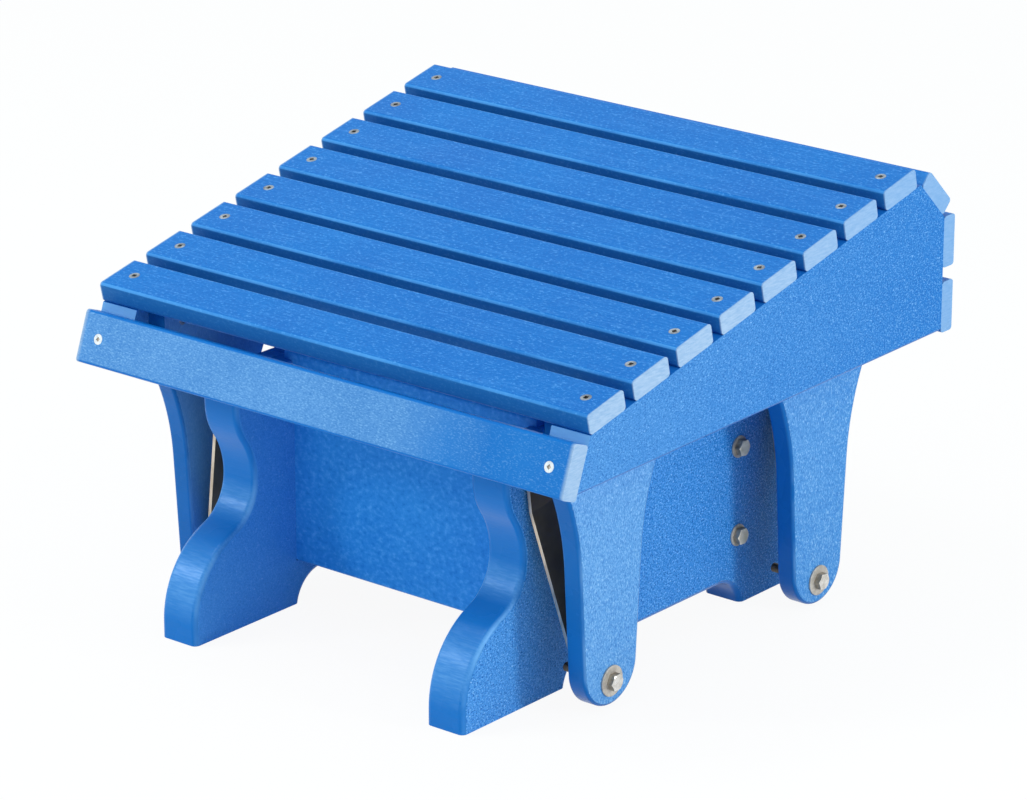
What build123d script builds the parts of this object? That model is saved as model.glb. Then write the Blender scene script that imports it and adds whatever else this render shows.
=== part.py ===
from build123d import *
import os
from math import acos, atan2, cos, degrees, radians, sin, sqrt, tan

# A gliding footstool of plastic lumber: a slatted seat hangs by four flat steel links from two
# thick side panels. Millimetres. X runs to the right, Y to the back, Z up. The origin lies on
# the floor, under the middle of the whole stool. Every piece of the right side has a mirrored
# twin on the left.

# ---------------------------------------------------------------- driving dimensions: the seat
SEAT_WIDTH = 513.0            # length of every slat; the rails are flush with the slats' ends
SLAT_WIDTH = 44.5
SLAT_THICK = 17.5
BACK_SLAT_THICK = 15.5        # the corner slat and the two below it
SLAT_ROUND = 3.0              # round on a slat's long edges
SLAT_COUNT = 8
SEAT_SLOPE = 12.6             # degrees, the top rises to the back
SEAT_FRONT_Z = 261.0          # top front corner of a side rail
RAIL_LENGTH = 470.0           # top front corner to rear edge, level
RAIL_THICK = 38.0
RAIL_BOTTOM_FRONT_Z = 216.5
RAIL_BOTTOM_REAR_Z = 222.5
RAIL_ROUND = 3.0              # round on a rail's lower edges
RAIL_CHAMFER = 36.0           # each leg of the 45 degree cut at the top rear corner
LAST_SLAT_MARGIN = 5.4        # rail left bare between the last top slat and that cut
FRONT_LEAN = 20.3             # degrees, the front cut leans out at its foot
APRON_DROP = 7.6              # rail left bare between its top front corner and the apron
BACK_DROP = 2.0               # the lowest back slat hangs below the rail

# ------------------------------------------------------------- driving dimensions: the hangers
HANGER_THICK = 18.0
HANGER_SETBACK = 76.0         # rail's top front corner to the front hanger's middle
HANGER_SPACING = 279.0        # front hanger to rear hanger
HANGER_FLOOR_GAP = 4.0
HANGER_END_RADIUS = 33.5
HANGER_WIDTH = 78.5           # where the flare starts
HANGER_FLARE_Z = 125.0
HANGER_FLARE_RISE = 82.0
HANGER_FLARE = 23.0           # how far each side flares out
HANGER_TOP_Z = 258.0
HANGER_ROUND = 3.0
PIVOT_Z = 25.0                # height of the lower pivots
HANGER_SCREW_SPAN = 80.0
HANGER_SCREW_RISE = 20.0
HANGER_SCREW_EDGE = 10.0      # upper screws below the hanger's top

# ---------------------------------------------------------------- driving dimensions: the base
SWING_GAP = 38.5              # side panel to hanger, where the link swings
PANEL_THICK = 38.0
PANEL_LEAD = 7.6              # panel's middle ahead of the upper pivots' middle
PIVOT_EDGE = 29.2             # upper pivots to the panel's upright edges, on average
PIVOT_DEPTH = 20.2            # front upper pivot below the panel's top
PANEL_ROUND = 5.0             # round on the panel's edges
SHOULDER_INSET = 54.5         # toe to the upright edge at the top
SHOULDER_HEIGHT = 26.0        # length of that edge with its rounded corner
SHOULDER_CORNER = 18.0
WAIST_INSET = 75.5            # toe to the deepest point of the S curve
WAIST_Z = 124.0
WAIST_LOWER_RADIUS = 40.0
WAIST_UPPER_RADIUS = 62.0
TOE_Z = 14.0                  # top of the toe's upright edge
FOOT_LENGTH = 128.0           # along the floor
ARCH_HEIGHT = 24.0
ARCH_END = 29.5               # run of each curved end of the arch
STRETCHER_THICK = 18.0
FRONT_STRETCHER_SETBACK = 42.5  # front upper pivot to the stretcher's middle
REAR_STRETCHER_LEAD = 57.6    # stretcher's middle to the rear upper pivot
STRETCHER_BOTTOM_Z = 38.7
FRONT_STRETCHER_PROUD = 7.5   # above the panel's top
REAR_STRETCHER_HEIGHT = 127.0
STRETCHER_ROUND = 3.0
HOUSING_DEPTH = 10.0          # the stretchers' ends are let into the panels
BASE_BOLT_Z = 63.0
BASE_BOLT_RISE = 78.4
BASE_BOLT_REACH = 90.0        # length under the head

# --------------------------------------------------------------- driving dimensions: the links
LINK_LENGTH = 172.5           # pivot to pivot
LINK_WIDTH = 38.0
LINK_THICK = 3.0
LINK_BEND_RADIUS = 6.0
LINK_FLAT = 27.0              # flat stretch past each pivot before the bend
FRONT_LINK_LEAN = 8.0         # degrees, the foot of the front link is further back
REAR_LINK_LEAN = 6.5          # degrees, the foot of the rear link is further forward
HOUSING_RING_WALL = 3.0       # ring round each bearing

# ------------------------------------------------------------ driving dimensions: the hardware
PIVOT_BOLT_RADIUS = 4.0
BASE_BOLT_RADIUS = 4.0
BOLT_HEAD_FLATS = 13.0
BOLT_HEAD_HEIGHT = 5.5
BOLT_HEAD_CROWN = 6.2         # radius of the round flat on top of a head
BOLT_HEAD_SLOPE = 30.0        # degrees, of the cone that cuts a head's corners
NUT_HEIGHT = 8.0
NUT_HEX_HEIGHT = 6.0
NUT_COLLAR_RADIUS = 5.6
PIVOT_WASHER_RADIUS = 13.0
BASE_WASHER_RADIUS = 9.5
SMALL_WASHER_RADIUS = 8.0
WASHER_THICK = 1.6
SPACER_THICK = 2.0
BEARING_RADIUS = 11.0
BEARING_WIDTH = 7.0
LOWER_BOLT_PROUD = 9.2        # bolt's end past its nut
UPPER_BOLT_PROUD = 2.4
SCREW_RADIUS = 2.1
SCREW_HEAD_RADIUS = 4.7
SCREW_LENGTH = 50.0
HANGER_SCREW_LENGTH = 38.0

# ------------------------------------------------------------------------- named clearances
FIT = 0.05                    # radial, round every shaft, bolt and screw
OPEN_PIVOT_PLAY = 1.5         # radial, in the rear links' lower bearings
SIDE_PLAY = 0.3               # between a link's bearing and the washers beside it

# ------------------------------------------------------------------------- worked-out places
rail_outer_x = SEAT_WIDTH / 2
rail_inner_x = rail_outer_x - RAIL_THICK
hanger_inner_x = rail_inner_x - HANGER_THICK
panel_outer_x = hanger_inner_x - SWING_GAP
panel_inner_x = panel_outer_x - PANEL_THICK
slope = radians(SEAT_SLOPE)
lean = radians(FRONT_LEAN)
front_link_turn = radians(FRONT_LINK_LEAN)
rear_link_turn = radians(REAR_LINK_LEAN)

# runs along Y are counted from the rail's top front corner, which then puts the middle at zero
front_top_run = HANGER_SETBACK - LINK_LENGTH * sin(front_link_turn)
rear_top_run = HANGER_SETBACK + HANGER_SPACING + LINK_LENGTH * sin(rear_link_turn)
half_panel = (rear_top_run - front_top_run) / 2 + PIVOT_EDGE + SHOULDER_INSET
panel_middle_run = (front_top_run + rear_top_run) / 2 - PANEL_LEAD
toe_run = panel_middle_run - half_panel
seat_front_y = -(toe_run + RAIL_LENGTH + BACK_SLAT_THICK) / 2
panel_middle_y = seat_front_y + panel_middle_run

rail_rear_y = seat_front_y + RAIL_LENGTH
chamfer_top = (
    rail_rear_y - RAIL_CHAMFER,
    SEAT_FRONT_Z + (RAIL_LENGTH - RAIL_CHAMFER) * tan(slope),
)
chamfer_bottom = (rail_rear_y, chamfer_top[1] - RAIL_CHAMFER)
front_cut_run = (SEAT_FRONT_Z - RAIL_BOTTOM_FRONT_Z) * tan(lean)
rail_bottom_front = (seat_front_y - front_cut_run, RAIL_BOTTOM_FRONT_Z)

front_hanger_y = seat_front_y + HANGER_SETBACK
rear_hanger_y = front_hanger_y + HANGER_SPACING
hanger_ys = [front_hanger_y, rear_hanger_y]
front_top_z = PIVOT_Z + LINK_LENGTH * cos(front_link_turn)
rear_top_z = PIVOT_Z + LINK_LENGTH * cos(rear_link_turn)
front_link_top = (seat_front_y + front_top_run, front_top_z)
rear_link_top = (seat_front_y + rear_top_run, rear_top_z)
link_tops = [front_link_top, rear_link_top]
panel_top_z = front_top_z + PIVOT_DEPTH
front_stretcher_y = front_link_top[0] + FRONT_STRETCHER_SETBACK
rear_stretcher_y = rear_link_top[0] - REAR_STRETCHER_LEAD
stretcher_ys = [front_stretcher_y, rear_stretcher_y]
front_stretcher_height = panel_top_z + FRONT_STRETCHER_PROUD - STRETCHER_BOTTOM_Z

# the stack on a lower pivot, from the hanger's inner face towards the middle
lower_bearing_x = hanger_inner_x - SPACER_THICK - SIDE_PLAY - BEARING_WIDTH / 2
lower_washer_x = lower_bearing_x - BEARING_WIDTH / 2 - SIDE_PLAY - WASHER_THICK
lower_nut_x = lower_washer_x - NUT_HEIGHT
# the stack on an upper pivot, from the panel's outer face outwards
upper_bearing_x = panel_outer_x + SPACER_THICK + SIDE_PLAY + BEARING_WIDTH / 2
upper_washer_x = upper_bearing_x + BEARING_WIDTH / 2 + SIDE_PLAY
upper_nut_x = upper_washer_x + WASHER_THICK

os.makedirs("parts", exist_ok=True)


def save(piece, name):
    """Label one finished piece and write it to its own file."""
    piece.label = name
    export_step(piece, f"parts/{name}.step")


def both_sides(piece):
    """The right-hand piece and its mirrored twin, with the words their names start with."""
    return [("right", piece), ("left", mirror(piece, about=Plane.YZ))]


def across(x, y=0.0, z=0.0):
    """A plane square to X at the given point, drawn with Y to the right and Z up."""
    return Plane(origin=(x, y, z), x_dir=(0, 1, 0), z_dir=(1, 0, 0))


def facing(x, y, z, direction):
    """A plane at a point, square to the direction."""
    return Plane(origin=(x, y, z), z_dir=direction)


# ------------------------------------------------------------------------------- the slats
def along(start, angle, run, out=0.0):
    """The point a run along a line of that angle in the YZ plane, and out to its left."""
    turn = radians(angle)
    y = start[0] + run * cos(turn) - out * sin(turn)
    z = start[1] + run * sin(turn) + out * cos(turn)
    return (y, z)


top_run = (RAIL_LENGTH - RAIL_CHAMFER) / cos(slope)
slat_pitch = (top_run - LAST_SLAT_MARGIN - SLAT_WIDTH) / (SLAT_COUNT - 1)
rail_top_front = (seat_front_y, SEAT_FRONT_Z)
apron_angle = 90.0 - FRONT_LEAN
corner_angle = -45.0
back_angle = -90.0
back_bottom_z = RAIL_BOTTOM_REAR_Z - BACK_DROP
corner_margin = (RAIL_CHAMFER * sqrt(2) - SLAT_WIDTH) / 2

# every slat lies on the rail's outline: name, corner where it starts, angle of its width, thickness
apron_start = along(rail_top_front, apron_angle, -APRON_DROP - SLAT_WIDTH)
corner_start = along(chamfer_top, corner_angle, corner_margin)
lower_back_start = (rail_rear_y, back_bottom_z + SLAT_WIDTH)
slats = [("front_apron", apron_start, apron_angle, SLAT_THICK)]
for index in range(SLAT_COUNT):
    start = along(rail_top_front, SEAT_SLOPE, index * slat_pitch)
    slats.append((f"top_slat_{index + 1}", start, SEAT_SLOPE, SLAT_THICK))
slats.append(("corner_slat", corner_start, corner_angle, BACK_SLAT_THICK))
slats.append(("upper_back_slat", chamfer_bottom, back_angle, BACK_SLAT_THICK))
slats.append(("lower_back_slat", lower_back_start, back_angle, BACK_SLAT_THICK))


def slat_screws(start, angle, thick):
    """The planes of a slat's two screws, on its outer face and over the rails' middles."""
    y, z = along(start, angle, SLAT_WIDTH / 2, thick)
    outward = (0, -sin(radians(angle)), cos(radians(angle)))
    rail_middle_x = rail_outer_x - RAIL_THICK / 2
    return [facing(x, y, z, outward) for x in (-rail_middle_x, rail_middle_x)]


def make_slat(start, angle, thick):
    """One slat: a board with rounded long edges and two countersunk holes."""
    turn = radians(angle)
    section = Plane(
        origin=(-SEAT_WIDTH / 2, start[0], start[1]),
        x_dir=(0, cos(turn), sin(turn)),
        z_dir=(1, 0, 0),
    )
    with BuildPart() as slat:
        with BuildSketch(section):
            Rectangle(SLAT_WIDTH, thick, align=(Align.MIN, Align.MIN))
        extrude(amount=SEAT_WIDTH)
        fillet(slat.edges().filter_by(Axis.X), SLAT_ROUND)
        with Locations(*slat_screws(start, angle, thick)):
            CounterSinkHole(SCREW_RADIUS + FIT, SCREW_HEAD_RADIUS + FIT, thick)
    return slat.part


for name, start, angle, thick in slats:
    save(make_slat(start, angle, thick), name)

# ------------------------------------------------------------------------------- the screws


def make_screw(length):
    """A countersunk screw: its flat head lies in the XY plane and its shank runs down Z."""
    head_depth = SCREW_HEAD_RADIUS - SCREW_RADIUS
    with BuildPart() as screw:
        with BuildSketch(Plane.XZ):
            with BuildLine():
                Polyline(
                    (0, 0),
                    (SCREW_HEAD_RADIUS, 0),
                    (SCREW_RADIUS, -head_depth),
                    (SCREW_RADIUS, -length),
                    (0, -length),
                    close=True,
                )
            make_face()
        revolve(axis=Axis.Z)
    return screw.part


slat_screw = make_screw(SCREW_LENGTH)
hanger_screw = make_screw(HANGER_SCREW_LENGTH)

screw_groups = {"top_slat_screws": [], "apron_screws": [], "back_slat_screws": []}
for name, start, angle, thick in slats:
    if name.startswith("top"):
        screw_groups["top_slat_screws"] += slat_screws(start, angle, thick)
    elif name == "front_apron":
        screw_groups["apron_screws"] += slat_screws(start, angle, thick)
    else:
        screw_groups["back_slat_screws"] += slat_screws(start, angle, thick)

for name, planes in screw_groups.items():
    with BuildPart() as screw_group:
        with Locations(*planes):
            add(slat_screw)
    save(screw_group.part, name)

# ------------------------------------------------------------------------------- the rails
hanger_screw_places = [
    (y + dy, HANGER_TOP_Z - HANGER_SCREW_EDGE - dz)
    for y in hanger_ys
    for dy in (-HANGER_SCREW_SPAN / 2, HANGER_SCREW_SPAN / 2)
    for dz in (0, HANGER_SCREW_RISE)
]
all_slat_screws = [plane for planes in screw_groups.values() for plane in planes]
right_slat_screws = [plane for plane in all_slat_screws if plane.origin.X > 0]

with BuildPart() as side_rail:
    with BuildSketch(across(rail_inner_x)):
        with BuildLine():
            Polyline(
                rail_top_front,
                chamfer_top,
                chamfer_bottom,
                (rail_rear_y, RAIL_BOTTOM_REAR_Z),
                rail_bottom_front,
                close=True,
            )
        make_face()
    extrude(amount=RAIL_THICK)
    rail_bottom = side_rail.faces().sort_by(Axis.Z)[0]
    long_edges = rail_bottom.edges().sort_by(SortBy.LENGTH)[-2:]
    fillet(long_edges, RAIL_ROUND)
    with Locations(*right_slat_screws):
        Hole(SCREW_RADIUS + FIT, SCREW_LENGTH + FIT)
    with Locations(*[facing(rail_inner_x, y, z, (-1, 0, 0)) for y, z in hanger_screw_places]):
        Hole(SCREW_RADIUS + FIT, HANGER_SCREW_LENGTH - HANGER_THICK + FIT)

for side, piece in both_sides(side_rail.part):
    save(piece, f"{side}_side_rail")


# ------------------------------------------------------------------------------- the hangers
def hanger_outline_start():
    """Where the tapered side meets the round end: the tangent point on the end's circle."""
    rise = HANGER_FLARE_Z - HANGER_FLOOR_GAP - HANGER_END_RADIUS
    half = HANGER_WIDTH / 2
    turn = atan2(rise, half) - acos(HANGER_END_RADIUS / sqrt(rise**2 + half**2))
    centre_z = HANGER_FLOOR_GAP + HANGER_END_RADIUS
    return (HANGER_END_RADIUS * cos(turn), centre_z + HANGER_END_RADIUS * sin(turn))


def make_hanger(y):
    """One hanger: a board with a round foot, tapered sides and a flared top on the rail."""
    half = HANGER_WIDTH / 2
    side_start = hanger_outline_start()
    flare_start = (half, HANGER_FLARE_Z)
    flare_end = (half + HANGER_FLARE, HANGER_FLARE_Z + HANGER_FLARE_RISE)
    upper = HANGER_TOP_Z - HANGER_SCREW_EDGE
    with BuildPart() as hanger:
        with BuildSketch(across(hanger_inner_x, y)):
            with BuildLine():
                TangentArc((0, HANGER_FLOOR_GAP), side_start, tangent=(1, 0))
                side_line = Line(side_start, flare_start)
                TangentArc(flare_start, flare_end, tangent=side_line % 1)
                Line(flare_end, (flare_end[0], HANGER_TOP_Z))
                Line((flare_end[0], HANGER_TOP_Z), (0, HANGER_TOP_Z))
                mirror(about=Plane.YZ)
            make_face()
        extrude(amount=HANGER_THICK)
        outline = hanger.edges().filter_by(GeomType.LINE, reverse=True)
        sides = hanger.edges().filter_by(GeomType.LINE).filter_by(Axis.X, reverse=True)
        tapered = sides.filter_by_position(Axis.Z, 0, HANGER_FLARE_Z)
        fillet(outline + tapered, HANGER_ROUND)
        with Locations(across(rail_inner_x, y, PIVOT_Z)):
            Hole(PIVOT_BOLT_RADIUS + FIT, HANGER_THICK)
        with Locations(facing(hanger_inner_x, y, upper - HANGER_SCREW_RISE / 2, (-1, 0, 0))):
            with GridLocations(HANGER_SCREW_RISE, HANGER_SCREW_SPAN, 2, 2):
                CounterSinkHole(SCREW_RADIUS + FIT, SCREW_HEAD_RADIUS + FIT, HANGER_THICK)
    return hanger.part


for place, y in zip(("front", "rear"), hanger_ys):
    for side, piece in both_sides(make_hanger(y)):
        save(piece, f"{place}_{side}_hanger")

with BuildPart() as hanger_screws:
    for sign in (-1, 1):
        planes = [facing(sign * hanger_inner_x, y, z, (-sign, 0, 0)) for y, z in hanger_screw_places]
        with Locations(*planes):
            add(hanger_screw)
save(hanger_screws.part, "hanger_screws")


# ------------------------------------------------------------------------------- the base
def s_middle(start, end, first_radius):
    """Where two arcs meet that leave start and reach end upright, the first of that radius."""
    dy = end[0] - start[0]
    dz = end[1] - start[1]
    both_radii = (dy**2 + dz**2) / (2 * abs(dy))
    share = first_radius / both_radii
    return (start[0] + dy * share, start[1] + dz * share)


waist = (WAIST_INSET - half_panel, WAIST_Z)
shoulder = (SHOULDER_INSET - half_panel, panel_top_z - SHOULDER_HEIGHT)
toe = (-half_panel, TOE_Z)
below_waist = s_middle(waist, toe, WAIST_LOWER_RADIUS)
above_waist = s_middle(waist, shoulder, WAIST_UPPER_RADIUS)
arch_start = (FOOT_LENGTH - half_panel, 0)
arch_top = (arch_start[0] + ARCH_END, ARCH_HEIGHT)
stretcher_heights = [front_stretcher_height, REAR_STRETCHER_HEIGHT]
housing_x = panel_inner_x + HOUSING_DEPTH
base_bolt_zs = [BASE_BOLT_Z, BASE_BOLT_Z + BASE_BOLT_RISE]
base_bolt_places = [(y, z) for y in stretcher_ys for z in base_bolt_zs]

with BuildPart() as base_panel:
    with BuildSketch(across(panel_inner_x, panel_middle_y)) as panel_face:
        with BuildLine():
            Line(arch_start, (-half_panel, 0))
            Line((-half_panel, 0), toe)
            lower_arc = TangentArc(toe, below_waist, tangent=(0, 1))
            waist_arc = TangentArc(below_waist, waist, tangent=lower_arc % 1)
            upper_arc = TangentArc(waist, above_waist, tangent=waist_arc % 1)
            TangentArc(above_waist, shoulder, tangent=upper_arc % 1)
            Line(shoulder, (shoulder[0], panel_top_z))
            Line((shoulder[0], panel_top_z), (0, panel_top_z))
            Line((0, ARCH_HEIGHT), arch_top)
            TangentArc(arch_top, arch_start, tangent=(-1, 0))
            mirror(about=Plane.YZ)
        make_face()
        fillet(panel_face.vertices().group_by(Axis.Y)[-1], SHOULDER_CORNER)
    extrude(amount=PANEL_THICK)
    outline = base_panel.edges().filter_by(Axis.X, reverse=True)
    above_floor = outline.filter_by_position(Axis.Z, PANEL_ROUND, panel_top_z + PANEL_ROUND)
    fillet(above_floor, PANEL_ROUND)
    for y, height in zip(stretcher_ys, stretcher_heights):
        with BuildSketch(across(panel_inner_x, y, STRETCHER_BOTTOM_Z)):
            Rectangle(STRETCHER_THICK + 2 * FIT, height, align=(Align.CENTER, Align.MIN))
        extrude(amount=HOUSING_DEPTH, mode=Mode.SUBTRACT)
    with Locations(*[across(panel_outer_x, y, z) for y, z in base_bolt_places]):
        Hole(BASE_BOLT_RADIUS + FIT, PANEL_THICK)
    with Locations(*[across(panel_outer_x, y, z) for y, z in link_tops]):
        Hole(PIVOT_BOLT_RADIUS + FIT, PANEL_THICK)

for side, piece in both_sides(base_panel.part):
    save(piece, f"{side}_base_panel")

bolt_in_stretcher = BASE_BOLT_REACH - WASHER_THICK - (panel_outer_x - housing_x)

for name, y, height in zip(("front", "rear"), stretcher_ys, stretcher_heights):
    with BuildPart() as stretcher:
        with BuildSketch(across(-housing_x, y, STRETCHER_BOTTOM_Z)):
            Rectangle(STRETCHER_THICK, height, align=(Align.CENTER, Align.MIN))
        extrude(amount=2 * housing_x)
        fillet(stretcher.edges().filter_by(Axis.X), STRETCHER_ROUND)
        for sign in (-1, 1):
            with Locations(*[facing(sign * housing_x, y, z, (sign, 0, 0)) for z in base_bolt_zs]):
                Hole(BASE_BOLT_RADIUS + FIT, bolt_in_stretcher + FIT)
    save(stretcher.part, f"{name}_stretcher")


# ------------------------------------------------------------------------------- the links
def make_link(top, foot):
    """One link: a flat bar bent outwards between its ends, with a ring round each bearing."""
    angle = degrees(atan2(foot[1] - top[1], foot[0] - top[0]))
    run = (0, cos(radians(angle)), sin(radians(angle)))
    side_view = Plane(origin=(0, top[0], top[1]), x_dir=run, z_dir=(0, run[2], -run[1]))
    bar_plane = Plane(origin=(0, top[0], top[1]), x_dir=run, z_dir=(1, 0, 0))
    ring_radius = BEARING_RADIUS + HOUSING_RING_WALL
    end = LINK_WIDTH
    with BuildPart() as link:
        with BuildSketch(side_view):
            with BuildLine():
                FilletPolyline(
                    (-end, upper_bearing_x),
                    (LINK_FLAT, upper_bearing_x),
                    (LINK_LENGTH - LINK_FLAT, lower_bearing_x),
                    (LINK_LENGTH + end, lower_bearing_x),
                    radius=LINK_BEND_RADIUS,
                )
            trace(line_width=LINK_THICK)
        extrude(amount=LINK_WIDTH, both=True)
        with BuildSketch(bar_plane):
            with Locations((LINK_LENGTH / 2, 0)):
                SlotCenterToCenter(LINK_LENGTH, LINK_WIDTH)
        extrude(amount=rail_outer_x, mode=Mode.INTERSECT)
        for x, run_at in ((upper_bearing_x, 0), (lower_bearing_x, LINK_LENGTH)):
            with BuildSketch(bar_plane.offset(x - BEARING_WIDTH / 2)):
                with Locations((run_at, 0)):
                    Circle(ring_radius)
            extrude(amount=BEARING_WIDTH)
            with BuildSketch(bar_plane.offset(x - BEARING_WIDTH / 2)):
                with Locations((run_at, 0)):
                    Circle(BEARING_RADIUS + FIT)
            extrude(amount=BEARING_WIDTH, mode=Mode.SUBTRACT)
    return link.part


def make_bearings(top, foot, foot_bore):
    """A link's two sealed bearings, one at each end."""
    with BuildPart() as bearings:
        for x, (y, z), bore in (
            (upper_bearing_x, top, PIVOT_BOLT_RADIUS + FIT),
            (lower_bearing_x, foot, foot_bore),
        ):
            with BuildSketch(across(x - BEARING_WIDTH / 2, y, z)):
                Circle(BEARING_RADIUS)
                Circle(bore, mode=Mode.SUBTRACT)
            extrude(amount=BEARING_WIDTH)
    return bearings.part


foot_bores = [PIVOT_BOLT_RADIUS + FIT, PIVOT_BOLT_RADIUS + OPEN_PIVOT_PLAY]
for place, top, y, bore in zip(("front", "rear"), link_tops, hanger_ys, foot_bores):
    foot = (y, PIVOT_Z)
    for side, piece in both_sides(make_link(top, foot)):
        save(piece, f"{place}_{side}_link")
    for side, piece in both_sides(make_bearings(top, foot, bore)):
        save(piece, f"{place}_{side}_link_bearings")


# ------------------------------------------------------------------------------- the hardware
def make_bolt(radius, reach):
    """A hex bolt along Z: its head stands on the XY plane and its shank runs down."""
    corner = BOLT_HEAD_FLATS / sqrt(3)
    corner_drop = (corner - BOLT_HEAD_CROWN) * tan(radians(BOLT_HEAD_SLOPE))
    with BuildPart() as bolt:
        with BuildSketch(Plane.XY):
            RegularPolygon(BOLT_HEAD_FLATS / 2, 6, major_radius=False)
        extrude(amount=BOLT_HEAD_HEIGHT)
        with BuildSketch(Plane.XZ):
            with BuildLine():
                Polyline(
                    (0, 0),
                    (corner, 0),
                    (corner, BOLT_HEAD_HEIGHT - corner_drop),
                    (BOLT_HEAD_CROWN, BOLT_HEAD_HEIGHT),
                    (0, BOLT_HEAD_HEIGHT),
                    close=True,
                )
            make_face()
        revolve(axis=Axis.Z, mode=Mode.INTERSECT)
        with BuildSketch(Plane.XY):
            Circle(radius)
        extrude(amount=-reach)
    return bolt.part


def make_ring(radius, hole, thick):
    """A washer that lies on the XY plane."""
    with BuildPart() as ring:
        with BuildSketch(Plane.XY):
            Circle(radius)
            Circle(hole, mode=Mode.SUBTRACT)
        extrude(amount=thick)
    return ring.part


def make_nut(hole):
    """A lock nut on the XY plane: a hexagon under a round collar."""
    with BuildPart() as nut:
        with BuildSketch(Plane.XY):
            RegularPolygon(BOLT_HEAD_FLATS / 2, 6, major_radius=False)
        extrude(amount=NUT_HEX_HEIGHT)
        with BuildSketch(Plane.XY):
            Circle(NUT_COLLAR_RADIUS)
        extrude(amount=NUT_HEIGHT)
        with BuildSketch(Plane.XY):
            Circle(hole)
        extrude(amount=NUT_HEIGHT, mode=Mode.SUBTRACT)
    return nut.part


def save_group(name, piece, x, places, outward=True):
    """One node with a copy of the piece at each place on both sides, facing out or in."""
    with BuildPart() as group:
        for sign in (-1, 1):
            way = (sign, 0, 0) if outward else (-sign, 0, 0)
            with Locations(*[facing(sign * x, y, z, way) for y, z in places]):
                add(piece)
    save(group.part, name)


lower_pivots = [(y, PIVOT_Z) for y in hanger_ys]
bolt_hole = PIVOT_BOLT_RADIUS + FIT
base_hole = BASE_BOLT_RADIUS + FIT
pivot_washer = make_ring(PIVOT_WASHER_RADIUS, bolt_hole, WASHER_THICK)
small_washer = make_ring(SMALL_WASHER_RADIUS, bolt_hole, WASHER_THICK)
spacer = make_ring(SMALL_WASHER_RADIUS, bolt_hole, SPACER_THICK)
lock_nut = make_nut(bolt_hole)
lower_reach = rail_inner_x + WASHER_THICK - lower_nut_x + LOWER_BOLT_PROUD
upper_reach = upper_nut_x + NUT_HEIGHT + UPPER_BOLT_PROUD - (panel_inner_x - WASHER_THICK)
lower_bolt = make_bolt(PIVOT_BOLT_RADIUS, lower_reach)
upper_bolt = make_bolt(PIVOT_BOLT_RADIUS, upper_reach)
base_bolt = make_bolt(BASE_BOLT_RADIUS, BASE_BOLT_REACH)
base_washer = make_ring(BASE_WASHER_RADIUS, base_hole, WASHER_THICK)

save_group("lower_pivot_bolts", lower_bolt, rail_inner_x + WASHER_THICK, lower_pivots)
save_group("lower_pivot_washers", pivot_washer, rail_inner_x, lower_pivots)
save_group("lower_pivot_spacers", spacer, hanger_inner_x, lower_pivots, outward=False)
save_group("lower_nut_washers", small_washer, lower_washer_x, lower_pivots)
save_group("lower_pivot_nuts", lock_nut, lower_washer_x, lower_pivots, outward=False)

save_group("upper_pivot_bolts", upper_bolt, panel_inner_x - WASHER_THICK, link_tops, outward=False)
save_group("upper_pivot_washers", pivot_washer, panel_inner_x, link_tops, outward=False)
save_group("upper_pivot_spacers", spacer, panel_outer_x, link_tops)
save_group("upper_nut_washers", small_washer, upper_washer_x, link_tops)
save_group("upper_pivot_nuts", lock_nut, upper_nut_x, link_tops)

save_group("base_bolts", base_bolt, panel_outer_x + WASHER_THICK, base_bolt_places)
save_group("base_washers", base_washer, panel_outer_x, base_bolt_places)
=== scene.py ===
import math
import bpy
import numpy as np
from mathutils import Euler, Matrix, Vector


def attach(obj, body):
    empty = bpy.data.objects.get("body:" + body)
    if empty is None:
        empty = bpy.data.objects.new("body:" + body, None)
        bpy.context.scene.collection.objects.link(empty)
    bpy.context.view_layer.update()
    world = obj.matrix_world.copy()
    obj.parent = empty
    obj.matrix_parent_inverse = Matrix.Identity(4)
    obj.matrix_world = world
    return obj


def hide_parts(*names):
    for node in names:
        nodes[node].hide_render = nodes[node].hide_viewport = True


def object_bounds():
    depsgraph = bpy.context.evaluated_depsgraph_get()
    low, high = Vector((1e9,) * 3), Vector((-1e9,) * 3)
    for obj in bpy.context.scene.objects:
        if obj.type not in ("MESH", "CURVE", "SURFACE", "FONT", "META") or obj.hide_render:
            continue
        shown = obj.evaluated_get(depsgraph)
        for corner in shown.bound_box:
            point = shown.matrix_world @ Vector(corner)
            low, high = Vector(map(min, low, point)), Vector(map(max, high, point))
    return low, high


# A gliding footstool of blue plastic lumber. Metres; X to the right, Y to the back, Z up, with the
# origin on the floor under the middle. The boards and links are the CAD nodes themselves, given
# their looks. The bolts, nuts, washers, screws and bearings are built again here with their small
# forms, one on each solid of the CAD node that they replace.

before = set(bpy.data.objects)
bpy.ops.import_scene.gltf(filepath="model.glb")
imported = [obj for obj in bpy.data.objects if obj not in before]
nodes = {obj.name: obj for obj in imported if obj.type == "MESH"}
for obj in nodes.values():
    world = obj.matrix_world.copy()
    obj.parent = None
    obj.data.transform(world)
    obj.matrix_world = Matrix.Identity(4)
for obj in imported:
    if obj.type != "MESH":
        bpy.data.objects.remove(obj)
loaded_low, loaded_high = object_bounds()

# ----------------------------------------------------------------------------------- the sizes

MM = 0.001

SLAT_SLOPE = 12.6               # degrees, the top rises to the back
APRON_LEAN = 20.3               # degrees, the apron's outer face looks up
BOARD_END = loaded_high[0] - 0.2 * MM    # X at which a sawn end has its full colour
SLAT_END_BLEND = 1.4 * MM       # run over which that colour begins
APRON_END_BLEND = 3.6 * MM

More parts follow.
